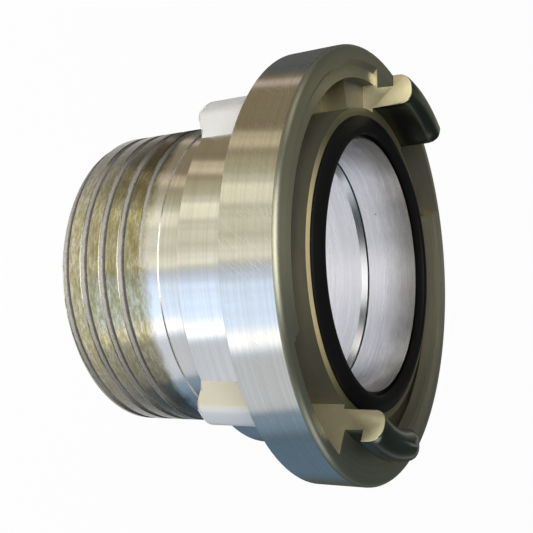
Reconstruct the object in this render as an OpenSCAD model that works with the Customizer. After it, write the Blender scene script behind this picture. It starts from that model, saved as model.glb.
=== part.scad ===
// Hose adapter: a claw coupling head on a coarse male thread
// It stands on its threaded end, with the waterway along Z and the claws on top.
// Angles run from +X towards +Y, and whatever comes in twos repeats half a turn on.

/* [Coupling ring] */
// Outside diameter of the ring
ring_d = 120; // [117:0.5:130]
// Height of the ring, back to face
ring_h = 15.5; // [14.5:0.5:22]
// Radius of the rounded front rim
rim_r = 1.4; // [0.5:0.1:1.9]
// Inside diameter of the locking lip
lip_d = 102.6; // [101.4:0.1:103.4]
// Thickness of the locking lip
lip_t = 4.4; // [3:0.1:4.5]
// Depth of the claw channel below the face
channel_depth = 12; // [11.2:0.1:12.5]
// Outside diameter of the claw channel
channel_d = 113.6; // [110:0.1:114]
// How far the lip's flat band lies below the face
lip_fall = 1.2; // [0.4:0.1:2]
// Radial width of the lip's flat band
lip_flat_w = 3; // [1:0.1:3]
// Radial width of the slope from the face down to the flat band
lip_slope_w = 1.5; // [1:0.1:1.5]

/* [Claws] */
// Distance between the inner faces of the two claws
claw_gap = 89; // [87.6:0.1:90]
// Radial thickness of a claw's stem
stem_t = 5.7; // [4:0.1:6]
// Reach of the hook beyond the stem
hook_reach = 2.9; // [2:0.1:3.4]
// Clear height under the hook
hook_clear = 4.6; // [4.5:0.1:6]
// Height of the hook itself
hook_h = 5.6; // [5:0.1:6.3]
// Width of a claw as an angle
claw_angle = 30.5; // [20:0.5:36]
// Angle of the first claw's trailing end
claw_start = -36; // [-60:1:0]
// Width of the window beside each claw as an angle
window_angle = 36.2; // [32:0.5:50]
// Width of the stop behind each claw as an angle
stop_angle = 15.5; // [8:0.5:20]

/* [Inner ring and seal] */
// Outside diameter of the inner ring
inner_ring_d = 86.6; // [86:0.1:87.2]
// How far the inner ring lies below the face
inner_ring_drop = 1.5; // [1:0.1:2.5]
// Outside diameter of the seal
seal_d = 82; // [81:0.1:83]
// Opening through the seal
seal_bore = 72; // [71:0.1:73.4]
// How far the seal stands above the face
seal_proud = 0.6; // [0.2:0.1:1]
// Depth of the seal's foot in its groove
seal_foot_h = 6.6; // [4:0.1:7.5]
// Radial width of the seal's foot
seal_foot_w = 3.7; // [3:0.1:4]

/* [Collar] */
// Outside diameter of the collar
collar_d = 99; // [96:0.5:101]
// Length of the collar behind the ring
collar_h = 19.3; // [16:0.1:26]
// Radius of the lugs' tops
lug_top = 54; // [52:0.1:55]
// Width of a spanner lug at its foot
lug_w = 16.4; // [14:0.1:30]
// Slope of a lug's flanks
lug_slope = 43; // [20:1:44]
// Angle of the first lug
lug_start = 36; // [0:1:60]
// Angle between the two lugs of one half
lug_step = 97.5; // [70:0.5:110]

/* [Waterway] */
// Bore of the coupling head
head_bore = 70; // [69:0.1:70.6]
// Bore of the threaded nipple
nipple_bore = 67; // [60:0.1:68]
// Depth from the face to the nipple's end
nipple_depth = 18.1; // [17.6:0.1:22]
// Outside diameter of the nipple's spigot in the head
spigot_d = 82; // [78:0.1:84]

/* [Male thread] */
// Diameter over the thread crests
thread_d = 88.2; // [87:0.1:92]
// Pitch, four turns to the inch
thread_pitch = 6.35; // [5:0.05:7]
// Width of the broad flat crest between two grooves
crest_w = 4; // [3:0.1:4.5]
// Width of the flat at a thread root
root_w = 0.7; // [0.3:0.1:1]
// Distance from the threaded end to the end of the crest band
thread_band = 33; // [31:0.5:36]
// Distance from the threaded end to where the groove runs out
thread_run = 28.1; // [20:0.1:28.5]
// Diameter of the plain shank next to the collar
shank_d = 87.6; // [86:0.1:88.1]
// Length from the threaded end to the collar
shank_len = 41.7; // [38:0.1:50]

/* [Hidden] */
$fn = 144;

// A small overlap that joins solids of one casting
merge = 0.5;
// How far a cutter runs on past the surface that it cuts
overrun = 1;
// Depth to which a fillet is sunk where it would only touch
blend = 0.12;
// Clearance round a seated piece
seat_gap = 0.1;
// Open joint between the head's shoulder and the nipple's end
end_gap = 0.6;
edge_break = 0.5;
collar_chamfer = 1.3;
end_chamfer = 1.2;
bore_chamfer = 1;
lead_chamfer = 1.5;
// Rounding along the back of a lug's top
lug_edge_r = 1.5;
// How far the rough lugs stand back past the turned end of the collar
lug_back = 0.7;
// How deep a lug is rooted in the collar
lug_root = 2;
back_fillet_r = 1.5;
window_corner_r = 1.8;
// Shares of the hook's thickness that its outer and inner nose radii take
nose_out_share = 0.46;
nose_in_share = 0.38;
flank_angle = 30;
seal_ridge_w = 2;
seal_edge_drop = 1.5;
arc_steps = 6;

z_collar = shank_len;
z_ring = z_collar + collar_h;
z_face = z_ring + ring_h;
z_lip = z_face - lip_t;
z_channel = z_face - channel_depth;
z_inner_ring = z_face - inner_ring_drop;
z_nipple = z_face - nipple_depth;
z_shoulder = z_nipple + end_gap;
z_seat = z_face - seal_proud - inner_ring_drop;
z_seal_floor = z_seat - seal_foot_h;
z_hook = z_face + hook_clear;
z_tip = z_hook + hook_h;

ring_r = ring_d / 2;
lip_r = lip_d / 2;
channel_r = channel_d / 2;
inner_ring_r = inner_ring_d / 2;
collar_r = collar_d / 2;
claw_r = claw_gap / 2;
stem_r = claw_r + stem_t;
hook_r = stem_r + hook_reach;
nose_out_r = nose_out_share * (hook_r - claw_r);
nose_in_r = nose_in_share * (hook_r - claw_r);
seal_r = seal_d / 2;
foot_r = seal_r - seal_foot_w;
spigot_r = spigot_d / 2;
crest_r = thread_d / 2;
shank_r = shank_d / 2;

thread_depth = (thread_pitch - crest_w - root_w) / 2 / tan(flank_angle);
thread_step = 9;
thread_margin = 0.8;
runout_angle = 80;
// Angle at which the thread groove runs out
runout_at = 115;

// Points on an arc from angle a0 to angle a1
function arc(centre, r, a0, a1, steps = arc_steps) =
    [for (i = [0:steps]) let (a = a0 + (a1 - a0) * i / steps) centre + r * [cos(a), sin(a)]];

// Places its children at both halves of the coupling
module twice() {
    for (half = [0, 180]) rotate([0, 0, half]) children();
}

// Places its children so that they start at a claw's leading end and run away from it
module from_claw() {
    twice() rotate([0, 0, claw_start]) mirror([0, 1, 0]) children();
}

// Half section of the head as turned, with the claws still running all the way round
module blank_section() {
    polygon(concat(
        [[head_bore / 2, z_shoulder], [spigot_r + seat_gap, z_shoulder],
         [spigot_r + seat_gap, z_collar], [collar_r - collar_chamfer, z_collar],
         [collar_r, z_collar + collar_chamfer]],
        arc([collar_r + back_fillet_r, z_ring - back_fillet_r], back_fillet_r, 180, 90),
        [[ring_r - edge_break, z_ring], [ring_r, z_ring + edge_break]],
        arc([ring_r - rim_r, z_face - rim_r], rim_r, 0, 90),
        [[stem_r, z_face], [stem_r, z_hook], [hook_r, z_hook]],
        arc([hook_r - nose_out_r, z_tip - nose_out_r], nose_out_r, 0, 90),
        arc([claw_r + nose_in_r, z_tip - nose_in_r], nose_in_r, 90, 180),
        [[claw_r, z_inner_ring], [seal_r + seat_gap, z_inner_ring],
         [seal_r + seat_gap, z_seal_floor], [foot_r - seat_gap, z_seal_floor],
         [foot_r - seat_gap, z_seat], [head_bore / 2, z_seat]]));
}

// Section cut away between the claws, down to the underside of the lip
module gap_section() {
    flat_r = lip_r + lip_flat_w;
    slope_r = flat_r + lip_slope_w;
    clear_r = max(slope_r, hook_r) + overrun;
    polygon([[inner_ring_r, z_lip], [lip_r, z_lip], [lip_r, z_face - lip_fall],
             [flat_r, z_face - lip_fall], [slope_r, z_face], [clear_r, z_hook],
             [clear_r, z_tip + overrun], [inner_ring_r, z_tip + overrun]]);
}

// Section of the channel that runs under the lip
module channel_section() {
    polygon([[inner_ring_r, z_channel], [channel_r, z_channel], [channel_r, z_lip],
             [lip_r, z_lip], [inner_ring_r, z_lip + overrun]]);
}

// Plan of the window through the lip, with the lip's free corner rounded
module window_plan() {
    centre_r = lip_r + window_corner_r - blend;
    tilt = asin(window_corner_r / centre_r);
    corner_at = window_angle + tilt;
    reach = channel_r / cos(window_angle / 2) + overrun;
    inner = lip_r - overrun;
    polygon(concat(
        [[inner, 0], [reach, 0], reach * [cos(window_angle), sin(window_angle)]],
        arc(centre_r * [cos(corner_at), sin(corner_at)], window_corner_r,
            window_angle - 90, corner_at - 180),
        [inner * [cos(corner_at), sin(corner_at)]]));
}

// Window that lets the mating claw in through the lip
module window_cut() {
    translate([0, 0, z_lip - overrun]) intersection() {
        linear_extrude(lip_t + 2 * overrun) window_plan();
        cylinder(r = channel_r, h = lip_t + 2 * overrun);
    }
}

// Plan of one spanner lug as a wedge between its two sloping flanks
module lug_plan() {
    foot = [lug_w / 2, sqrt(pow(collar_r, 2) - pow(lug_w / 2, 2))];
    run = [sin(lug_slope), -cos(lug_slope)];
    sunk = foot + lug_root * run;
    rise = lug_top + overrun - foot[1];
    top = [max(merge, foot[0] - rise * tan(lug_slope)), lug_top + overrun];
    polygon([[0, 0], sunk, top, [-top[0], top[1]], [-sunk[0], sunk[1]]]);
}

// Section of the lugs, coaxial with the collar and rounded along the back
module lug_section() {
    z_back = z_collar - lug_back;
    polygon(concat([[collar_r - lug_root, z_collar + collar_chamfer + lug_back]],
        arc([lug_top - lug_edge_r, z_back + lug_edge_r], lug_edge_r, -90, 0),
        [[lug_top, z_ring + merge], [collar_r - lug_root, z_ring + merge]]));
}

// Spanner lugs round the collar
module lugs() {
    intersection() {
        rotate_extrude() lug_section();
        translate([0, 0, z_collar - lug_back - overrun])
            twice() for (at = [lug_start, lug_start + lug_step]) rotate([0, 0, at - 90])
                linear_extrude(lug_back + collar_h + merge + 2 * overrun) lug_plan();
    }
}

module coupling_head() {
    gap_angle = 180 - claw_angle;
    color("silver") difference() {
        union() {
            rotate_extrude() blank_section();
            lugs();
        }
        from_claw() {
            rotate_extrude(angle = gap_angle) gap_section();
            rotate_extrude(angle = gap_angle - stop_angle) channel_section();
            window_cut();
        }
    }
}

// Height of the groove's middle at an angle of the thread
function groove_z(angle) = thread_run + thread_pitch * angle / 360;

// One cross-section of the groove cutter, lifted clear of the crest at the run-out
function groove_ring(angle, lift, turn) =
    let (root = crest_r - thread_depth + lift, top = crest_r + thread_margin,
         w0 = root_w / 2, w1 = w0 + (top - root) * tan(flank_angle), z = groove_z(angle),
         dir = [cos(angle + turn), sin(angle + turn), 0])
    [root * dir + [0, 0, z - w0], root * dir + [0, 0, z + w0],
     top * dir + [0, 0, z + w1], top * dir + [0, 0, z - w1]];

// Helical groove cutter, which ends at the run-out and starts below the threaded end
module groove_cutter(end_angle) {
    sweep = (thread_run + thread_pitch) / thread_pitch * 360;
    count = ceil(sweep / thread_step);
    rings = [for (i = [0:count])
        let (back = (count - i) * thread_step,
             lift = (thread_depth + thread_margin / 2) * max(0, 1 - back / runout_angle))
        each groove_ring(-back, lift, end_angle)];
    side_faces = [for (i = [0:count - 1], k = [0:3])
        let (a = 4 * i + k, b = 4 * i + (k + 1) % 4)
        each [[a, b + 4, b], [a, a + 4, b + 4]]];
    last = 4 * count;
    polyhedron(rings, concat(side_faces, [[0, 1, 2, 3], [last + 3, last + 2, last + 1, last]]));
}

// Half section of the nipple before its thread is cut
module nipple_section() {
    polygon([[nipple_bore / 2 + bore_chamfer, 0], [crest_r - end_chamfer, 0],
             [crest_r, end_chamfer], [crest_r, thread_band], [shank_r, thread_band],
             [shank_r, z_collar], [spigot_r, z_collar], [spigot_r, z_nipple - edge_break],
             [spigot_r - edge_break, z_nipple], [nipple_bore / 2 + lead_chamfer, z_nipple],
             [nipple_bore / 2, z_nipple - lead_chamfer], [nipple_bore / 2, bore_chamfer]]);
}

module threaded_nipple() {
    color("tan") difference() {
        rotate_extrude() nipple_section();
        groove_cutter(runout_at);
    }
}

// Section of the seal: a foot in the groove and a ridged face that overhangs the bore
module face_seal() {
    z_top = z_face + seal_proud;
    color("#202020") rotate_extrude() polygon([
        [foot_r, z_seal_floor], [seal_r, z_seal_floor], [seal_r, z_top - seal_edge_drop],
        [seal_bore / 2 + seal_ridge_w, z_top], [seal_bore / 2 + edge_break, z_top],
        [seal_bore / 2, z_top - edge_break], [seal_bore / 2, z_seat], [foot_r, z_seat]]);
}

coupling_head();
threaded_nipple();
face_seal();
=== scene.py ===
"""Dresses a claw coupling hose adapter: a cast head, a nipple with a coarse male thread, and a face seal.

The adapter stands on its threaded end at the origin, with its waterway along Z, in metres.
"""

import math

import bmesh
import bpy
from bpy.props import FloatProperty, FloatVectorProperty, PointerProperty
from mathutils import Matrix, Vector


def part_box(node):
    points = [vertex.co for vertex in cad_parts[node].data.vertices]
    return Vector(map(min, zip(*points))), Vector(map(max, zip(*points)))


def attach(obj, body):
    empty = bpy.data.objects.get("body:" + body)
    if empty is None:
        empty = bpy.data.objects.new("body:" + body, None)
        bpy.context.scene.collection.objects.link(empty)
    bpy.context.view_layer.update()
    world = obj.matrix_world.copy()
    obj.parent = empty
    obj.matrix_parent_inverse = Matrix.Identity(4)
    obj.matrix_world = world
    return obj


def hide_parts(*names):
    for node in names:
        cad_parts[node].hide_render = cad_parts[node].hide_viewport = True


bl_info = {
    "name": "Claw coupling hose adapter",
    "version": (1, 0, 0),
    "blender": (4, 5, 0),
    "location": "View3D > Sidebar > Adapter",
    "description": "Finishes the head, the threaded nipple and the face seal of a hose adapter",
    "category": "Object",
}

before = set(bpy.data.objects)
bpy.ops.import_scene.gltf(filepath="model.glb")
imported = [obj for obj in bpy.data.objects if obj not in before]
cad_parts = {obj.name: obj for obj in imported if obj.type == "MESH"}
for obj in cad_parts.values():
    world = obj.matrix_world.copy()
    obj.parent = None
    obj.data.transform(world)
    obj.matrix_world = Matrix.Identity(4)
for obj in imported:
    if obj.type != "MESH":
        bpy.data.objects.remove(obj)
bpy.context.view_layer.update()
MM = 0.001
CAD_WELD = 2e-6
FLAT_WITHIN = math.radians(0.6)
SHARP_OVER = math.radians(32)

# How far past its named place a face or an edge may lie
NEAR = 0.1 * MM
ON_CREST = 0.15 * MM
PAST_CORNER = 0.2 * MM
PAST_STEP = 0.5 * MM
PAST_EDGE_BREAK = 0.6 * MM
CLEAR_OF = 1 * MM

# How much of a face's normal points along the axis, or straight out from it
FLAT_END = 0.1
UPRIGHT = 0.3
ACROSS = 0.5
FACING_UP = 0.9
LEANING = 0.55
STRAIGHT_OUT = 0.985

# Places on the head, up from the threaded end or out from the axis
RING_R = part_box("coupling_head")[1].x
FACE_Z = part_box("face_seal")[1].z - 0.6 * MM
RING_BACK = FACE_Z - 15.5 * MM
LIP_BACK = FACE_Z - 4.4 * MM
RIM_Z = FACE_Z - 1.35 * MM
RIM_ROUND_R = RING_R - 1.7 * MM
COLLAR_R = 49.5 * MM
CLAW_END_R = 53.5 * MM
CLAW_FOOT = FACE_Z + 0.3 * MM
INNER_RING_R = 44 * MM
INSIDE_SEAL_R = 38 * MM
HEAD_BORE_R = 35 * MM
BORE_MOUTH = (62 * MM, 75 * MM)

# Places on the nipple
CREST_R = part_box("threaded_nipple")[1].x
ROOT_R = CREST_R - 1.43 * MM
NIPPLE_BORE_R = 33.5 * MM
NIPPLE_CHAMFER = 1.7 * MM
THREAD_END = 33 * MM
GROOVE_EDGE_TOP = 25 * MM
GROOVE_TURN_RISE = 2.5 * MM


def colour_prop(name, description, value):
    return FloatVectorProperty(
        name=name, description=description, subtype="COLOR", size=3, min=0, max=1, default=value
    )


def length_prop(name, description, value):
    return FloatProperty(
        name=name, description=description, subtype="DISTANCE", unit="LENGTH", min=0, default=value
    )


def power_prop(name, description, value):
    return FloatProperty(name=name, description=description, unit="POWER", min=0, default=value)


class HeadSettings(bpy.types.PropertyGroup):
    """Finish of the cast and turned coupling head"""

    claw_round: length_prop("Claw round", "Rounding of the claws' end edges", 0.2 * MM)
    lug_round: length_prop("Lug round", "Rounding of the lugs' edges", 1.2 * MM)
    ring_round: length_prop("Ring round", "Rounding of the ring's rear edge", 0.3 * MM)
    # Partly painted shade: the face's olive tone is darkened for the shade on the coupling's face
    face_colour: colour_prop("Face colour", "Machined face and its rounded rim", (0.34, 0.345, 0.27))
    claw_colour: colour_prop("Claw colour", "Milled ends of the claws", (0.86, 0.79, 0.54))
    # Painted shade: the claws' sides are darkened for their shade
    claw_side_colour: colour_prop("Claw side colour", "Dark treated sides of the claws", (0.17, 0.18, 0.15))
    # Painted shade: the channel's walls are darkened for the shade inside the channel
    channel_colour: colour_prop("Channel colour", "Dark olive walls of the channel", (0.09, 0.086, 0.062))
    window_colour: colour_prop("Window colour", "Golden end walls of the windows", (0.90, 0.82, 0.46))
    seat_colour: colour_prop("Seat colour", "Golden end of the ring round the seal", (0.98, 0.81, 0.45))
    rim_colour: colour_prop("Rim colour", "Turned outside of the ring", (0.82, 0.82, 0.80))
    collar_colour: colour_prop("Collar colour", "Turned collar", (0.92, 0.92, 0.93))
    lug_colour: colour_prop("Lug colour", "Cast skin of the lugs", (0.96, 0.97, 1.0))
    tint_colour: colour_prop("Tint colour", "Golden tint of the treated metal", (0.66, 0.57, 0.34))


class NippleSettings(bpy.types.PropertyGroup):
    """Finish of the threaded nipple"""

    crest_round: length_prop("Crest round", "Rounding of the thread's edges", 0.1 * MM)
    thread_colour: colour_prop("Thread colour", "Tinted crests of the thread", (0.48, 0.43, 0.23))
    crest_colour: colour_prop("Crest colour", "Crests rubbed bare", (0.64, 0.60, 0.45))
    edge_colour: colour_prop("Edge colour", "Edges of the groove, rubbed bright", (0.62, 0.60, 0.56))
    # Painted shade: this colour darkens the thread's roots, and the thread towards both sides along X
    thread_shade_colour: colour_prop("Thread shade colour", "Painted shade in the thread's roots and towards its sides", (0.14, 0.13, 0.11))
    bore_colour: colour_prop("Bore colour", "Bored inside of the waterway", (0.92, 0.92, 0.95))


class SealSettings(bpy.types.PropertyGroup):
    """Shape and finish of the rubber face seal"""

    rubber_colour: colour_prop("Rubber colour", "Black rubber", (0.004, 0.004, 0.004))
    edge_round: length_prop("Edge round", "Rounding of the seal's edges", 0.35 * MM)


class StageSettings(bpy.types.PropertyGroup):
    """Camera, lamps and floor"""

    lens: FloatProperty(
        name="Lens", description="Focal length for a 36 mm wide sensor", unit="CAMERA", default=57.11
    )
    key_power: power_prop("Key power", "Power of the front lamp", 1.3)
    warm_power: power_prop("Warm power", "Power of the upper lamp", 0.26)
    cool_power: power_prop("Cool power", "Power of the lower lamp", 0.30)
    floor_glow: FloatProperty(
        name="Floor white", description="How much of the floor is plain white",
        subtype="FACTOR", min=0, max=1, default=0.97,
    )
    room_colour: colour_prop("Room", "Dim room round the stage", (0.06, 0.075, 0.072))


# Materials

SCRATCH_TONE = (0.9, 0.9, 0.88)
TURNED_PORE_TONE = (0.12, 0.11, 0.09)
CAST_PORE_TONE = (0.2, 0.17, 0.12)
THREAD_PORE_TONE = (0.06, 0.05, 0.03)
GROOVE_WALL_TONE = (0.60, 0.58, 0.56)
# Painted shade darkening the head's bore towards its mouth at the coupling face
BORE_MOUTH_SHADE = (0.36, 0.34, 0.30)
# Painted shade darkening the seat towards both sides along X
SEAT_END_SHADE = (0.12, 0.11, 0.06)

# What the amount of scratches is set to where there are none
UNSCRATCHED = -1.0

# Where a finish or a painted shade changes across the part, as the two ends of a soft border. The seat and
# the thread take a painted shade towards both sides along X
LUG_TINT_STARTS = (-24 * MM, -28 * MM)
LUG_TINT_ENDS = (-35.5 * MM, -33 * MM)
SEAT_DARKENS = (10 * MM, 34 * MM)
THREAD_DARKENS = (12 * MM, 37 * MM)
THREAD_FADES = (27 * MM, 31 * MM)


def group(name, inputs, outputs):
    """An empty shader node group with its sockets, and its two end nodes."""
    tree = bpy.data.node_groups.new(name, "ShaderNodeTree")
    for label, kind, value in inputs:
        socket = tree.interface.new_socket(name=label, in_out="INPUT", socket_type=kind)
        if value is not None:
            socket.default_value = value
    for label, kind in outputs:
        tree.interface.new_socket(name=label, in_out="OUTPUT", socket_type=kind)
    return tree, tree.nodes.new("NodeGroupInput"), tree.nodes.new("NodeGroupOutput")


def feed_socket(tree, socket, value):
    """Links a socket to a value that is a socket too, or sets it to a plain one."""
    if isinstance(value, bpy.types.NodeSocket):
        tree.links.new(value, socket)
    else:
        socket.default_value = value


def feed(tree, node, values):
    for socket, value in zip(node.inputs, values):
        feed_socket(tree, socket, value)


def feed_named(tree, node, **values):
    for label, value in values.items():
        feed_socket(tree, node.inputs[label.replace("_", " ")], value)


def math_node(tree, operation, *values):
    """A math node fed by sockets or plain numbers; gives its output socket."""
    node = tree.nodes.new("ShaderNodeMath")
    node.operation = operation
    feed(tree, node, values)
    return node.outputs[0]


def times(tree, first, second):
    return math_node(tree, "MULTIPLY", first, second)


def plus(tree, first, second):
    return math_node(tree, "ADD", first, second)


def noise(tree, vector, scale, detail, roughness=0.55):
    node = tree.nodes.new("ShaderNodeTexNoise")
    feed_named(tree, node, Vector=vector, Scale=scale, Detail=detail, Roughness=roughness)
    return node.outputs["Fac"]


def combined(tree, *values):
    """A vector made of up to three sockets or plain numbers."""
    node = tree.nodes.new("ShaderNodeCombineXYZ")
    feed(tree, node, values)
    return node.outputs[0]


def separated(tree, vector):
    node = tree.nodes.new("ShaderNodeSeparateXYZ")
    tree.links.new(vector, node.inputs[0])
    return node.outputs


def object_place(tree):
    return tree.nodes.new("ShaderNodeTexCoord").outputs["Object"]


def polar(tree):
    """Radius, height and angle of a point on the object, as three sockets."""
    x, y, z = separated(tree, object_place(tree))
    squared = plus(tree, times(tree, x, x), times(tree, y, y))
    return math_node(tree, "SQRT", squared), z, math_node(tree, "ARCTAN2", y, x)


def ramp(tree, value, low, high):
    """Rises softly from 0 at low to 1 at high, or falls where low is the higher."""
    node = tree.nodes.new("ShaderNodeMapRange")
    node.interpolation_type = "SMOOTHSTEP"
    feed_named(tree, node, Value=value, From_Min=low, From_Max=high)
    return node.outputs["Result"]


def off_centre(tree, place, low, high):
    """Black in the middle of the part's height in the photograph and white at its two ends."""
    return ramp(tree, math_node(tree, "ABSOLUTE", separated(tree, place)[0]), low, high)


def wall_coords(tree, around, along):
    """Coordinates that run round the axis and along the surface, each with its own scale."""
    radius, height, angle = polar(tree)
    run = times(tree, plus(tree, radius, height), along)
    return combined(tree, times(tree, angle, around), run, times(tree, radius, along))


# How the rings of the turning tool change on the way round, and how fine the scratches are
RING_DRIFT = 0.0006
SCRATCH_ARC_R = 55 * MM
SCRATCHES_ACROSS = 3400.0
SCRATCHES_ALONG = 190.0
SCRATCH_SLANTS = ((0.35, 0.0), (1.3, 3.7))
SCRATCH_EDGE = 0.86
SCRATCH_EDGE_DROP = 0.15


def build_lathe_marks():
    """Rings left by the turning tool: they run round the axis, so they follow radius and height."""
    tree, given, out = group(
        "Lathe marks",
        [("Scale", "NodeSocketFloat", 900.0), ("Waviness", "NodeSocketFloat", 0.15)],
        [("Mask", "NodeSocketFloat"), ("Height", "NodeSocketFloat")],
    )
    radius, height, angle = polar(tree)
    around = combined(tree, radius, height, times(tree, angle, RING_DRIFT))
    fine = noise(tree, around, given.outputs["Scale"], 3.0, 0.65)
    wide = noise(tree, around, times(tree, given.outputs["Scale"], 0.22), 2.0)
    mixed = plus(tree, fine, times(tree, wide, given.outputs["Waviness"]))
    tree.links.new(mixed, out.inputs["Height"])
    tree.links.new(ramp(tree, fine, 0.4, 0.62), out.inputs["Mask"])
    return tree


def build_scratches():
    """Fine scratches from handling: two sets of short lines, slanted each its own way."""
    tree, given, out = group(
        "Handling scratches",
        [("Scale", "NodeSocketFloat", 1.0), ("Amount", "NodeSocketFloat", 0.5)],
        [("Mask", "NodeSocketFloat")],
    )
    radius, height, angle = polar(tree)
    along = plus(tree, radius, height)
    around = times(tree, angle, SCRATCH_ARC_R)
    sets = []
    for slant, offset in SCRATCH_SLANTS:
        across = math_node(tree, "SUBTRACT", along, times(tree, around, slant))
        place = combined(
            tree, times(tree, across, SCRATCHES_ACROSS), times(tree, around, SCRATCHES_ALONG), offset,
        )
        sets.append(noise(tree, place, given.outputs["Scale"], 2.0))
    lines = math_node(tree, "MAXIMUM", *sets)
    drop = times(tree, given.outputs["Amount"], SCRATCH_EDGE_DROP)
    edge = math_node(tree, "SUBTRACT", SCRATCH_EDGE, drop)
    tree.links.new(ramp(tree, lines, edge, plus(tree, edge, 0.1)), out.inputs["Mask"])
    return tree


def build_pits():
    """Small pores of a casting, of many sizes and thinned out at random."""
    tree, given, out = group(
        "Casting pores",
        [("Scale", "NodeSocketFloat", 260.0), ("Amount", "NodeSocketFloat", 0.3)],
        [("Mask", "NodeSocketFloat"), ("Height", "NodeSocketFloat")],
    )
    cells = tree.nodes.new("ShaderNodeTexVoronoi")
    feed_named(tree, cells, Vector=object_place(tree), Scale=given.outputs["Scale"], Randomness=1.0)
    drawn = tree.nodes.new("ShaderNodeSeparateColor")
    tree.links.new(cells.outputs["Color"], drawn.inputs[0])
    size = times(tree, times(tree, drawn.outputs[1], drawn.outputs[1]), 0.2)
    spots = ramp(tree, cells.outputs["Distance"], size, times(tree, size, 0.5))
    chosen = math_node(tree, "LESS_THAN", drawn.outputs[0], given.outputs["Amount"])
    mask = times(tree, spots, chosen)
    tree.links.new(mask, out.inputs["Mask"])
    tree.links.new(math_node(tree, "SUBTRACT", 1.0, mask), out.inputs["Height"])
    return tree


def build_stain():
    """Cloudy patches of oxide tint, stretched round the axis."""
    tree, given, out = group(
        "Oxide tint",
        [
            ("Scale", "NodeSocketFloat", 40.0), ("Low", "NodeSocketFloat", 0.4),
            ("High", "NodeSocketFloat", 0.65),
        ],
        [("Mask", "NodeSocketFloat")],
    )
    clouds = noise(tree, wall_coords(tree, 0.016, 1.0), given.outputs["Scale"], 6.0, 0.62)
    tree.links.new(ramp(tree, clouds, given.outputs["Low"], given.outputs["High"]), out.inputs["Mask"])
    return tree


def build_depth():
    """White at a low radius and black at a high one: a mask by depth in the thread, which marks its groove
    walls and the painted shade in its roots.
    """
    tree, given, out = group(
        "Root dirt",
        [("Clean radius", "NodeSocketFloat", 0.044), ("Dirty radius", "NodeSocketFloat", 0.0405)],
        [("Mask", "NodeSocketFloat")],
    )
    radius = polar(tree)[0]
    ragged = math_node(tree, "SUBTRACT", noise(tree, object_place(tree), 500.0, 4.0), 0.5)
    depth = plus(tree, radius, times(tree, ragged, 0.4 * MM))
    mask = ramp(tree, depth, given.outputs["Clean radius"], given.outputs["Dirty radius"])
    tree.links.new(mask, out.inputs["Mask"])
    return tree


def build_past():
    """White past a height along the axis and black before it, with a ragged edge between."""
    tree, given, out = group(
        "Ragged band", [("From", "NodeSocketFloat", 0.027), ("To", "NodeSocketFloat", 0.031)],
        [("Mask", "NodeSocketFloat")],
    )
    ragged = math_node(tree, "SUBTRACT", noise(tree, wall_coords(tree, 0.02, 1.0), 260.0, 4.0), 0.5)
    where = plus(tree, polar(tree)[1], times(tree, ragged, 6 * MM))
    tree.links.new(ramp(tree, where, given.outputs["From"], given.outputs["To"]), out.inputs["Mask"])
    return tree


EFFECTS = {
    "Lathe marks": build_lathe_marks,
    "Handling scratches": build_scratches,
    "Casting pores": build_pits,
    "Oxide tint": build_stain,
    "Root dirt": build_depth,
    "Ragged band": build_past,
}


def effect(tree, name, **values):
    """Places a shared effect in a material, building its group the first time."""
    shared = bpy.data.node_groups.get(name) or EFFECTS[name]()
    node = tree.nodes.new("ShaderNodeGroup")
    node.node_tree = shared
    feed_named(tree, node, **values)
    return node.outputs


def mix_colour(tree, mask, first, second, amount=1.0):
    """Goes from the first colour to the second where the mask is white, by an amount."""
    node = tree.nodes.new("ShaderNodeMix")
    node.data_type = "RGBA"
    sockets = [s for s in node.inputs if s.type == "RGBA"]
    for socket, value in zip(sockets, (first, second)):
        is_socket = isinstance(value, bpy.types.NodeSocket)
        feed_socket(tree, socket, value if is_socket else (*value, 1.0))
    tree.links.new(mask if amount == 1.0 else times(tree, mask, amount), node.inputs["Factor"])
    return [s for s in node.outputs if s.type == "RGBA"][0]


def darker(colour, share):
    return tuple(part * share for part in colour)


def new_material(name):
    material = bpy.data.materials.new(name)
    material.use_nodes = True
    tree = material.node_tree
    return material, tree, tree.nodes["Principled BSDF"]


def bump(tree, shader, height, strength, distance):
    node = tree.nodes.new("ShaderNodeBump")
    feed_named(tree, node, Strength=strength, Distance=distance, Height=height)
    tree.links.new(node.outputs["Normal"], shader.inputs["Normal"])


def turned_tangent(tree, shader, amount):
    """Blurs reflections across the tool's rings and not along them."""
    shader.inputs["Anisotropic"].default_value = amount
    shader.inputs["Anisotropic Rotation"].default_value = 0.25
    tangent = tree.nodes.new("ShaderNodeTangent")
    tangent.direction_type = "RADIAL"
    tangent.axis = "Z"
    tree.links.new(tangent.outputs[0], shader.inputs["Tangent"])


def spread_rough(tree, shader, value, low, high, extra=None):
    """Roughness from low to high as the value rises, with an extra share on top."""
    node = tree.nodes.new("ShaderNodeMapRange")
    feed_named(tree, node, Value=value, To_Min=low, To_Max=high)
    result = node.outputs["Result"]
    if extra is not None:
        result = plus(tree, result, extra)
    tree.links.new(result, shader.inputs["Roughness"])


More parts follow.
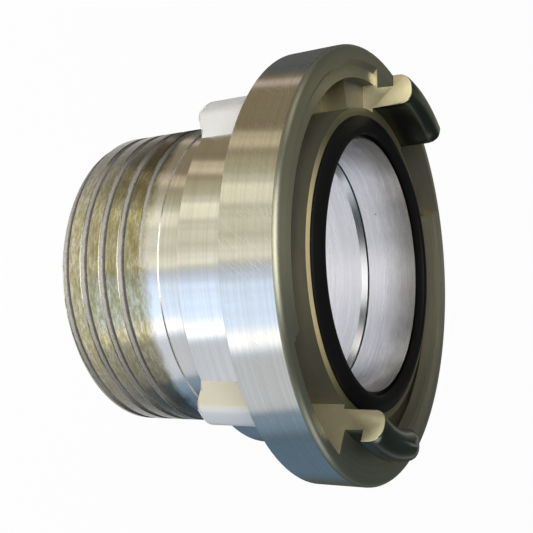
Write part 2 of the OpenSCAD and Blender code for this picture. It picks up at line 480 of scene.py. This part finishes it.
def turned_metal(
    name, colour, tint, tint_amount=0.4, depth=0.02, rough=(0.16, 0.26),
    pores=0.02, scratched=0.5, bare=1.0, mouth_shade=None,
):
    """Lathe-turned aluminium: rings round the axis, a patchy tint, fine scratches and a few pores."""
    material, tree, shader = new_material(name)
    shader.inputs["Metallic"].default_value = bare
    turned_tangent(tree, shader, 0.75)
    lathe = effect(tree, "Lathe marks", Scale=1200.0, Waviness=0.6)
    stain = effect(tree, "Oxide tint", Scale=45.0, Low=0.35, High=0.75)
    pits = effect(tree, "Casting pores", Scale=420.0, Amount=pores)
    lines = effect(tree, "Handling scratches", Scale=1.0, Amount=scratched)
    tinted = mix_colour(tree, stain["Mask"], colour, tint, tint_amount)
    ringed = mix_colour(tree, lathe["Mask"], tinted, darker(colour, 0.7), 0.25)
    # A mouth shade is a painted shade: the bore turns darker towards its mouth
    if mouth_shade:
        mouth = effect(tree, "Ragged band", From=BORE_MOUTH[0], To=BORE_MOUTH[1])
        ringed = mix_colour(tree, mouth["Mask"], ringed, mouth_shade, 0.95)
    worn = mix_colour(tree, lines["Mask"], ringed, SCRATCH_TONE, 0.45)
    pitted = mix_colour(tree, pits["Mask"], worn, TURNED_PORE_TONE, 0.7)
    tree.links.new(pitted, shader.inputs["Base Color"])
    spread_rough(tree, shader, lathe["Height"], *rough, extra=times(tree, lines["Mask"], 0.1))
    height = plus(tree, lathe["Height"], times(tree, pits["Height"], 3.0))
    bump(tree, shader, height, 0.35, depth * MM)
    return material


def lower_band(tree, place):
    """White on the stretch of the lower lug whose flank catches the golden tint."""
    up = separated(tree, place)[0]
    return times(tree, ramp(tree, up, *LUG_TINT_STARTS), ramp(tree, up, *LUG_TINT_ENDS))


def cast_metal(
    name, colour, tint, rough=(0.38, 0.58), tinted=0.5, grain_depth=0.05,
    bare=1.0, lower_tint=0, end_shade=None,
):
    """As-cast aluminium skin: matt, grainy, with shallow dents and small pores."""
    material, tree, shader = new_material(name)
    shader.inputs["Metallic"].default_value = bare
    place = object_place(tree)
    grain = noise(tree, place, 1500.0, 3.0, 0.6)
    lumps = noise(tree, place, 160.0, 3.0, 0.5)
    stain = effect(tree, "Oxide tint", Scale=60.0, Low=0.35, High=0.7)
    pits = effect(tree, "Casting pores", Scale=500.0, Amount=0.25)
    amount = times(tree, stain["Mask"], tinted)
    if lower_tint:
        amount = math_node(tree, "MAXIMUM", amount, times(tree, lower_band(tree, place), lower_tint))
    skin = mix_colour(tree, amount, colour, tint)
    # An end shade is a painted shade: the colour turns darker towards both sides along X
    if end_shade:
        skin = mix_colour(tree, off_centre(tree, place, *SEAT_DARKENS), skin, end_shade)
    pitted = mix_colour(tree, pits["Mask"], skin, CAST_PORE_TONE, 0.6)
    tree.links.new(pitted, shader.inputs["Base Color"])
    spread_rough(tree, shader, grain, *rough)
    height = plus(tree, plus(tree, times(tree, lumps, 3.0), grain), pits["Height"])
    bump(tree, shader, height, 0.5, grain_depth * MM)
    return material


def thread_metal(name, tinted, bare, thread_shade, shank):
    """Threaded aluminium: tinted crests with specks of dirt, dull groove walls, painted shade in the roots,
    and painted shade towards both sides along X.
    """
    material, tree, shader = new_material(name)
    turned_tangent(tree, shader, 0.6)
    lathe = effect(tree, "Lathe marks", Scale=1400.0, Waviness=0.4)
    pits = effect(tree, "Casting pores", Scale=600.0, Amount=0.22)
    wall = effect(tree, "Root dirt", Clean_radius=CREST_R - 0.2 * MM, Dirty_radius=CREST_R - 0.3 * MM)
    # Painted shade in the roots of the thread
    root = effect(tree, "Root dirt", Clean_radius=ROOT_R + 0.6 * MM, Dirty_radius=ROOT_R + 0.2 * MM)
    past = effect(tree, "Ragged band", From=THREAD_FADES[0], To=THREAD_FADES[1])
    patches = effect(tree, "Oxide tint", Scale=520.0, Low=0.4, High=0.6)
    shade = effect(tree, "Oxide tint", Scale=1500.0, Low=0.42, High=0.6)
    # Painted shade: the thread turns darker towards both sides along X
    sides = off_centre(tree, object_place(tree), *THREAD_DARKENS)
    crest = mix_colour(tree, patches["Mask"], bare, tinted)
    mottled = mix_colour(tree, shade["Mask"], crest, darker(tinted, 0.4), 0.45)
    cut = mix_colour(tree, wall["Mask"], mottled, GROOVE_WALL_TONE, 0.8)
    side_shaded = mix_colour(tree, sides, cut, thread_shade, 0.9)
    root_shaded = mix_colour(tree, root["Mask"], side_shaded, thread_shade, 0.85)
    faded = mix_colour(tree, past["Mask"], root_shaded, shank)
    pitted = mix_colour(tree, pits["Mask"], faded, THREAD_PORE_TONE, 0.85)
    tree.links.new(pitted, shader.inputs["Base Color"])
    dulled = times(tree, math_node(tree, "MAXIMUM", wall["Mask"], root["Mask"]), 0.65)
    tree.links.new(math_node(tree, "SUBTRACT", 1.0, dulled), shader.inputs["Metallic"])
    spread_rough(tree, shader, lathe["Height"], 0.16, 0.28, extra=times(tree, shade["Mask"], 0.08))
    height = plus(tree, lathe["Height"], times(tree, pits["Height"], 3.0))
    bump(tree, shader, height, 0.4, 0.02 * MM)
    return material


def rubber(name, colour):
    """Black rubber: matt, with a moulded grain and a little dust."""
    material, tree, shader = new_material(name)
    shader.inputs["Specular IOR Level"].default_value = 0.12
    grain = noise(tree, object_place(tree), 900.0, 4.0, 0.6)
    dust = effect(tree, "Oxide tint", Scale=90.0, Low=0.5, High=0.8)
    dusty = mix_colour(tree, dust["Mask"], colour, tuple(part * 3 for part in colour), 0.3)
    tree.links.new(dusty, shader.inputs["Base Color"])
    spread_rough(tree, shader, grain, 0.45, 0.65)
    bump(tree, shader, grain, 0.3, 0.03 * MM)
    return material


# Pieces


def welded_copy(node):
    """The CAD node's shape as one closed bmesh, with its flat faces joined."""
    bm = bmesh.new()
    bm.from_mesh(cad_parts[node].data)
    bmesh.ops.remove_doubles(bm, verts=bm.verts, dist=CAD_WELD)
    bmesh.ops.dissolve_limit(bm, angle_limit=FLAT_WITHIN, verts=bm.verts, edges=bm.edges)
    return bm


def middle(edge):
    return (edge.verts[0].co + edge.verts[1].co) / 2


def reach(point):
    return math.hypot(point.x, point.y)


def least_reach(edge):
    return min(reach(v.co) for v in edge.verts)


def radial(point):
    return Vector((point.x, point.y, 0)).normalized()


def facing_out(normal, point):
    """How much of a normal points straight out from the axis or in towards it, seen from a point."""
    return abs(normal.dot(radial(point)))


def round_edges(bm, width, segments, wanted, over=SHARP_OVER):
    """Bevels the sharp edges that wanted(edge) picks."""
    edges = [e for e in bm.edges if e.is_manifold and e.calc_face_angle() > over and wanted(e)]
    if edges and width > 0:
        bmesh.ops.bevel(
            bm, geom=edges, offset=width, offset_type="OFFSET", segments=segments, profile=0.5,
            affect="EDGES", clamp_overlap=False, material=-1,
        )


def finish_piece(bm, name, materials, choose, node, crisp=()):
    """Turns a bmesh into a piece that stands for a CAD node, with sharp borders round its crisp finishes."""
    for face in bm.faces:
        face.smooth = True
        face.material_index = choose(face)
    for edge in bm.edges:
        finishes = {face.material_index for face in edge.link_faces}
        border = len(finishes) > 1 and finishes.intersection(crisp)
        edge.smooth = not (border or edge.is_manifold and edge.calc_face_angle() > SHARP_OVER)
    mesh = bpy.data.meshes.new(name)
    bm.to_mesh(mesh)
    bm.free()
    for material in materials:
        mesh.materials.append(material)
    piece = bpy.data.objects.new(name, mesh)
    bpy.context.scene.collection.objects.link(piece)
    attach(piece, "root")
    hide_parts(node)


HEAD_FINISHES = (
    "face", "claw_end", "claw_side", "channel", "window", "seat", "rim", "collar", "lug", "bore",
)


def head_materials(look, bore_colour):
    """The head's finishes by their names."""
    tint = look.tint_colour
    return {
        "face": turned_metal("machined_face", look.face_colour, tint, 0.3, rough=(0.28, 0.42), bare=0.9),
        "claw_end": cast_metal(
            "milled_claw_ends", look.claw_colour, tint, rough=(0.42, 0.6), tinted=0.6, grain_depth=0.06,
        ),
        # The claws' sides are darkened as a painted shade, with patches of the channel's painted shade
        "claw_side": turned_metal("treated_claw_sides", look.claw_side_colour, look.channel_colour, 0.5),
        # The channel's dark colour is a painted shade
        "channel": cast_metal(
            "milled_channel", look.channel_colour, tint, rough=(0.45, 0.6), tinted=0.1, grain_depth=0.02,
            bare=0.15,
        ),
        "window": cast_metal(
            "milled_window", look.window_colour, tint, rough=(0.3, 0.45), tinted=0.3, grain_depth=0.02,
        ),
        "seat": cast_metal(
            "pitted_seat", look.seat_colour, tint, rough=(0.42, 0.6), tinted=0.3, grain_depth=0.08,
            bare=0.4, end_shade=SEAT_END_SHADE,
        ),
        "rim": turned_metal(
            "turned_rim", look.rim_colour, tint, 0.2, depth=0.03, rough=(0.1, 0.2), pores=0.0,
            scratched=1.9,
        ),
        "collar": turned_metal(
            "turned_collar", look.collar_colour, tint, 0.15, rough=(0.12, 0.22), pores=0.0,
        ),
        "lug": cast_metal("cast_lug", look.lug_colour, tint, tinted=0.1, bare=0.4, lower_tint=0.75),
        "bore": turned_metal(
            "bored_head", bore_colour, look.lug_colour, 0.2, rough=(0.2, 0.3), pores=0.1,
            scratched=UNSCRATCHED, mouth_shade=BORE_MOUTH_SHADE,
        ),
    }


def mean_reach(face):
    """Mean distance of a face's corners from the axis. The centre of a flat ring lies on the axis itself."""
    return sum(reach(v.co) for v in face.verts) / len(face.verts)


def across_end(face):
    """Whether a face stands across the way round, as the ends of claws and windows do."""
    return abs(face.normal.z) < UPRIGHT and facing_out(face.normal, face.calc_center_median()) < ACROSS


def head_part(face):
    """Which of the head's finishes a face has, from where it lies."""
    z, r, across = face.calc_center_median().z, mean_reach(face), across_end(face)
    if r < HEAD_BORE_R + PAST_EDGE_BREAK:
        return "bore"
    if z > FACE_Z + NEAR:
        return "claw_end" if across else "claw_side"
    if z < RING_BACK - NEAR:
        return "lug" if r > COLLAR_R + PAST_CORNER else "collar"
    if r > RING_R - PAST_CORNER and z < RIM_Z or z < RING_BACK + NEAR:
        return "rim"
    if r > RIM_ROUND_R:
        return "face"
    if across:
        return "claw_end" if z > LIP_BACK - NEAR and r < CLAW_END_R else "window"
    if face.normal.z > FACING_UP and z > LIP_BACK + NEAR:
        if r < INSIDE_SEAL_R:
            return "claw_side"
        return "seat" if r < INNER_RING_R else "face"
    return "channel"


def head_finish(face):
    return HEAD_FINISHES.index(head_part(face))


def claw_end_edge(edge):
    """An edge round the flat end of a claw."""
    at = middle(edge)
    normals = (face.normal for face in edge.link_faces)
    return at.z > CLAW_FOOT and any(abs(n.z) < FLAT_END and facing_out(n, at) < FLAT_END for n in normals)


def lug_edge(edge):
    """An edge round the top of a lug: along its corners or round its rear."""
    lowest = min(v.co.z for v in edge.verts)
    return least_reach(edge) > COLLAR_R + PAST_EDGE_BREAK and lowest < RING_BACK - CLEAR_OF


def ring_rear_edge(edge):
    at = middle(edge)
    return abs(at.z - RING_BACK) < NEAR and reach(at) > RIM_ROUND_R


class ADAPTER_OT_head(bpy.types.Operator):
    """Make the coupling head with its claws and lugs"""

    bl_idname = "adapter.head"
    bl_label = "Coupling head"

    def execute(self, context):
        look = context.scene.adapter_head
        bm = welded_copy("coupling_head")
        round_edges(bm, look.claw_round, 2, claw_end_edge)
        round_edges(bm, look.lug_round, 3, lug_edge)
        round_edges(bm, look.ring_round, 2, ring_rear_edge)
        materials = head_materials(look, context.scene.adapter_nipple.bore_colour)
        finish_piece(
            bm, "coupling_head_casting", [materials[name] for name in HEAD_FINISHES], head_finish,
            "coupling_head",
        )
        return {"FINISHED"}


THREAD, GROOVE_EDGE, SHANK, NIPPLE_BORE = range(4)


def nipple_materials(look, head):
    """The nipple's finishes, in the order of their four numbers."""
    return [
        thread_metal(
            "cut_thread", look.thread_colour, look.crest_colour, look.thread_shade_colour, head.collar_colour,
        ),
        turned_metal("bright_groove_edges", look.edge_colour, head.tint_colour, 0.2, rough=(0.3, 0.42)),
        turned_metal("turned_shank", head.collar_colour, head.tint_colour, 0.4),
        turned_metal(
            "bored_nipple", look.bore_colour, head.lug_colour, 0.2, rough=(0.2, 0.3), pores=0.1,
            scratched=UNSCRATCHED,
        ),
    ]


def nipple_finish(face):
    """Which of the nipple's finishes a face has, from where it lies and how it leans."""
    z, r = face.calc_center_median().z, mean_reach(face)
    if r < NIPPLE_BORE_R + NIPPLE_CHAMFER:
        return NIPPLE_BORE
    lean = facing_out(face.normal, face.calc_center_median())
    by_crest = r > CREST_R - PAST_EDGE_BREAK and z < GROOVE_EDGE_TOP + CLEAR_OF
    if by_crest and LEANING < lean < STRAIGHT_OUT:
        return GROOVE_EDGE
    if abs(z - THREAD_END) < PAST_STEP and lean < STRAIGHT_OUT:
        return GROOVE_EDGE
    return THREAD if z < THREAD_END + PAST_CORNER and r > ROOT_R - PAST_CORNER else SHANK


def groove_edge(edge):
    """An edge where the thread's groove cuts the crest."""
    low, high = sorted(v.co.z for v in edge.verts)
    on_crest = least_reach(edge) > CREST_R - ON_CREST
    return on_crest and high - low < GROOVE_TURN_RISE and high < GROOVE_EDGE_TOP


class ADAPTER_OT_nipple(bpy.types.Operator):
    """Make the threaded nipple with its worn crests"""

    bl_idname = "adapter.nipple"
    bl_label = "Threaded nipple"

    def execute(self, context):
        look = context.scene.adapter_nipple
        bm = welded_copy("threaded_nipple")
        round_edges(bm, look.crest_round, 2, groove_edge)
        finish_piece(
            bm, "threaded_nipple_turning", nipple_materials(look, context.scene.adapter_head), nipple_finish,
            "threaded_nipple", {GROOVE_EDGE},
        )
        return {"FINISHED"}


SEAL_SHARP_OVER = math.radians(20)


class ADAPTER_OT_seal(bpy.types.Operator):
    """Make the rubber face seal"""

    bl_idname = "adapter.seal"
    bl_label = "Face seal"

    def execute(self, context):
        look = context.scene.adapter_seal
        bm = welded_copy("face_seal")
        round_edges(bm, look.edge_round, 3, lambda edge: True, over=SEAL_SHARP_OVER)
        finish_piece(
            bm, "face_seal_ring", [rubber("black_rubber", look.rubber_colour)], lambda face: 0,
            "face_seal",
        )
        return {"FINISHED"}


# Stage

CAMERA_AT = Vector((-0.00541, 0.21957, 0.16195))
CAMERA_X = Vector((-0.048767, -0.484362, 0.873507))
CAMERA_Y = Vector((0.998445, 0.0, 0.055742))
CAMERA_Z = Vector((-0.026999, 0.874867, 0.483609))
SENSOR = 36.0
CLIP_START = 0.01

# Name, power setting, colour, size, place and spread in degrees of each lamp
LAMPS = (
    ("key_softbox", "key_power", (1.0, 0.98, 0.96), (0.6, 0.5), (0.1, 0.5, 0.43), 90),
    ("warm_softbox", "warm_power", (1.0, 0.95, 0.88), (0.4, 0.4), (0.6, 0.0, 0.5), 120),
    ("cool_softbox", "cool_power", (0.85, 0.92, 1.0), (0.4, 0.4), (-0.6, 0.0, 0.4), 120),
)
LAMPS_AIM_AT = Vector((0, 0, 0.04))

# What the turned metal mirrors round the axis, on a dim floor. Each card or flag has its azimuth, half
# its width and the softness of its edge, all three in degrees, and its tone
CARDS = (
    (24, 32, 6, (0.24, 0.20, 0.12)),
    (-25, 14, 2, (0.08, 0.10, 0.11)),
    (-2, 2.5, 1.5, (0.62, 0.52, 0.44)),
    (34, 4, 2, (0.72, 0.62, 0.42)),
    (46, 5, 4, (0.46, 0.42, 0.27)),
    (70, 20, 3, (0.76, 0.73, 0.56)),
    (58, 5, 3, (1.0, 0.95, 0.73)),
    (83, 3, 2, (0.95, 0.93, 0.76)),
    (108, 20, 3, (0.60, 0.68, 0.80)),
    (106, 12, 5, (0.90, 1.06, 1.3)),
    (119, 4, 3, (1.5, 1.5, 1.5)),
    (140, 14, 1.5, (0.62, 0.64, 0.67)),
    (161, 7, 4, (0.24, 0.33, 0.42)),
    (187, 22, 12, (0.11, 0.17, 0.23)),
)
DIM_FLOOR = (0.08, 0.085, 0.07)

# Thin streaks on the cards, which fade towards the side that is the lower one in the photograph
STREAK_TONE = (0.2, 0.14, 0.1)
STREAK_BORDER = (0.48, 0.54)
STREAKS_FADE = (145.0, 55.0)

# The floor is white close round the part, and its cards get darker far away
FLOOR_HALF = 3.0
FLOOR_TONE = (0.8, 0.8, 0.8)
FLOOR_WHITE_NEAR = (1.4 * CREST_R, 1.1 * CREST_R)
FLOOR_DARKENS = (0.3, 1.2)
FLOOR_FAR_STRENGTH = 0.4

# The room: how high its white backdrop shows in the metal, and the card that the coupling face mirrors
BACKDROP_TOP = (0.2, 0.05)
BACKDROP_SHARE = 0.3
FACE_CARD_AT = math.radians(-81)
FACE_CARD_EDGE = math.radians(16)
FACE_CARD_TONE = (0.24, 0.23, 0.18)


def add_lamp(name, power, colour, size, at, spread):
    data = bpy.data.lights.new(name, "AREA")
    data.shape = "RECTANGLE"
    data.size, data.size_y = size
    data.energy = power
    data.color = colour
    data.spread = math.radians(spread)
    lamp = bpy.data.objects.new(name, data)
    lamp.location = at
    lamp.rotation_euler = (LAMPS_AIM_AT - Vector(at)).to_track_quat("-Z", "Y").to_euler()
    bpy.context.scene.collection.objects.link(lamp)


def card_tones(tree, angle):
    """The tones that metal mirrors, from an angle round the axis, broken by thin streaks."""
    degrees = times(tree, angle, 180 / math.pi)
    tone = DIM_FLOOR
    for at, half, soft, colour in CARDS:
        turned = math_node(tree, "MODULO", plus(tree, degrees, 540 - at), 360)
        aside = math_node(tree, "ABSOLUTE", math_node(tree, "SUBTRACT", turned, 180))
        tone = mix_colour(tree, ramp(tree, aside, half + soft, half - soft), tone, colour)
    streaks = ramp(tree, noise(tree, combined(tree, angle), 20.0, 6.0, 0.8), *STREAK_BORDER)
    shown = ramp(tree, math_node(tree, "ABSOLUTE", degrees), *STREAKS_FADE)
    return mix_colour(tree, times(tree, streaks, shown), tone, STREAK_TONE, 0.5)


def shader_mix(tree, share, first, second):
    node = tree.nodes.new("ShaderNodeMixShader")
    tree.links.new(share, node.inputs["Fac"])
    tree.links.new(first.outputs[0], node.inputs[1])
    tree.links.new(second.outputs[0], node.inputs[2])
    return node.outputs[0]


def mirrored_rays(tree, path):
    """White for the rays that come from a mirroring surface or through a clear one."""
    return math_node(tree, "MAXIMUM", path["Is Glossy Ray"], path["Is Transmission Ray"])


def floor_material(look):
    """A white floor that keeps the part's shadow, and that metal mirrors in bright and dark tones."""
    material, tree, shader = new_material("studio_floor")
    shader.inputs["Base Color"].default_value = (*FLOOR_TONE, 1)
    shader.inputs["Roughness"].default_value = 1.0
    shader.inputs["Specular IOR Level"].default_value = 0.0
    radius, _, angle = polar(tree)
    path = tree.nodes.new("ShaderNodeLightPath").outputs
    white = math_node(tree, "MAXIMUM", path["Is Camera Ray"], ramp(tree, radius, *FLOOR_WHITE_NEAR))
    glow = tree.nodes.new("ShaderNodeEmission")
    tones = mix_colour(tree, white, card_tones(tree, angle), (1.0, 1.0, 1.0))
    tree.links.new(tones, glow.inputs["Color"])
    far = tree.nodes.new("ShaderNodeMapRange")
    nearest, farthest = FLOOR_DARKENS
    feed_named(
        tree, far, Value=radius, From_Min=nearest, From_Max=farthest, To_Min=1.0, To_Max=FLOOR_FAR_STRENGTH
    )
    tree.links.new(math_node(tree, "MAXIMUM", far.outputs["Result"], white), glow.inputs["Strength"])
    seen = times(tree, path["Is Camera Ray"], look.floor_glow)
    shown = math_node(tree, "MAXIMUM", seen, mirrored_rays(tree, path))
    mixed = shader_mix(tree, shown, shader, glow)
    tree.links.new(mixed, tree.nodes["Material Output"].inputs["Surface"])
    return material


def studio_world(look):
    """A dim room whose white backdrop stands behind the floor, and shows in the metal up to a low height."""
    world = bpy.data.worlds.new("studio_world")
    world.use_nodes = True
    tree = world.node_tree
    room = tree.nodes["Background"]
    room.inputs["Strength"].default_value = 1.0
    backdrop = tree.nodes.new("ShaderNodeBackground")
    backdrop.inputs["Color"].default_value = (1, 1, 1, 1)
    x, y, z = separated(tree, tree.nodes.new("ShaderNodeTexCoord").outputs["Generated"])
    path = tree.nodes.new("ShaderNodeLightPath").outputs
    low = times(tree, ramp(tree, z, *BACKDROP_TOP), BACKDROP_SHARE)
    mirrored = times(tree, mirrored_rays(tree, path), low)
    turned = math_node(tree, "SUBTRACT", math_node(tree, "ARCTAN2", y, x), FACE_CARD_AT)
    card = ramp(tree, math_node(tree, "ABSOLUTE", turned), FACE_CARD_EDGE, 0.0)
    toned = mix_colour(tree, card, tuple(look.room_colour), FACE_CARD_TONE)
    tree.links.new(toned, room.inputs["Color"])
    shown = math_node(tree, "MAXIMUM", path["Is Camera Ray"], mirrored)
    mixed = shader_mix(tree, shown, room, backdrop)
    tree.links.new(mixed, tree.nodes["World Output"].inputs["Surface"])
    return world


def add_floor(look):
    bm = bmesh.new()
    bmesh.ops.create_grid(bm, x_segments=1, y_segments=1, size=FLOOR_HALF)
    mesh = bpy.data.meshes.new("studio_floor")
    bm.to_mesh(mesh)
    bm.free()
    mesh.materials.append(floor_material(look))
    floor = bpy.data.objects.new("studio_floor", mesh)
    bpy.context.scene.collection.objects.link(floor)


def add_camera(lens):
    data = bpy.data.cameras.new("photo_camera")
    data.sensor_width = SENSOR
    data.lens = lens
    data.clip_start = CLIP_START
    camera = bpy.data.objects.new("photo_camera", data)
    turn = Matrix((CAMERA_X, CAMERA_Y, CAMERA_Z)).transposed()
    camera.matrix_world = Matrix.Translation(CAMERA_AT) @ turn.to_4x4()
    bpy.context.scene.collection.objects.link(camera)
    return camera


class ADAPTER_OT_stage(bpy.types.Operator):
    """Set up the floor, the lamps and the camera"""

    bl_idname = "adapter.stage"
    bl_label = "Studio stage"

    def execute(self, context):
        scene = context.scene
        look = scene.adapter_stage
        add_floor(look)
        for name, power, *placing in LAMPS:
            add_lamp(name, getattr(look, power), *placing)
        scene.world = studio_world(look)
        scene.camera = add_camera(look.lens)
        scene.view_settings.view_transform = "Standard"
        return {"FINISHED"}


class ADAPTER_PT_panel(bpy.types.Panel):
    """Lists the adapter's pieces and its stage"""

    bl_label = "Hose adapter"
    bl_idname = "ADAPTER_PT_panel"
    bl_space_type = "VIEW_3D"
    bl_region_type = "UI"
    bl_category = "Adapter"

    def draw(self, context):
        scene = context.scene
        for title, settings, operator in (
            ("Coupling head", scene.adapter_head, "adapter.head"),
            ("Threaded nipple", scene.adapter_nipple, "adapter.nipple"),
            ("Face seal", scene.adapter_seal, "adapter.seal"),
            ("Stage", scene.adapter_stage, "adapter.stage"),
        ):
            box = self.layout.box()
            box.label(text=title)
            for name in settings.bl_rna.properties.keys():
                if name not in ("rna_type", "name"):
                    box.prop(settings, name)
            box.operator(operator)


SETTINGS = {
    "adapter_head": HeadSettings,
    "adapter_nipple": NippleSettings,
    "adapter_seal": SealSettings,
    "adapter_stage": StageSettings,
}
CLASSES = (
    *SETTINGS.values(),
    ADAPTER_OT_head,
    ADAPTER_OT_nipple,
    ADAPTER_OT_seal,
    ADAPTER_OT_stage,
    ADAPTER_PT_panel,
)


def register():
    for cls in CLASSES:
        bpy.utils.register_class(cls)
    for name, cls in SETTINGS.items():
        setattr(bpy.types.Scene, name, PointerProperty(type=cls))


def unregister():
    for name in SETTINGS:
        delattr(bpy.types.Scene, name)
    for cls in reversed(CLASSES):
        bpy.utils.unregister_class(cls)


def main():
    register()
    bpy.ops.adapter.stage()
    bpy.ops.adapter.head()
    bpy.ops.adapter.nipple()
    bpy.ops.adapter.seal()


if __name__ == "__main__":
    main()
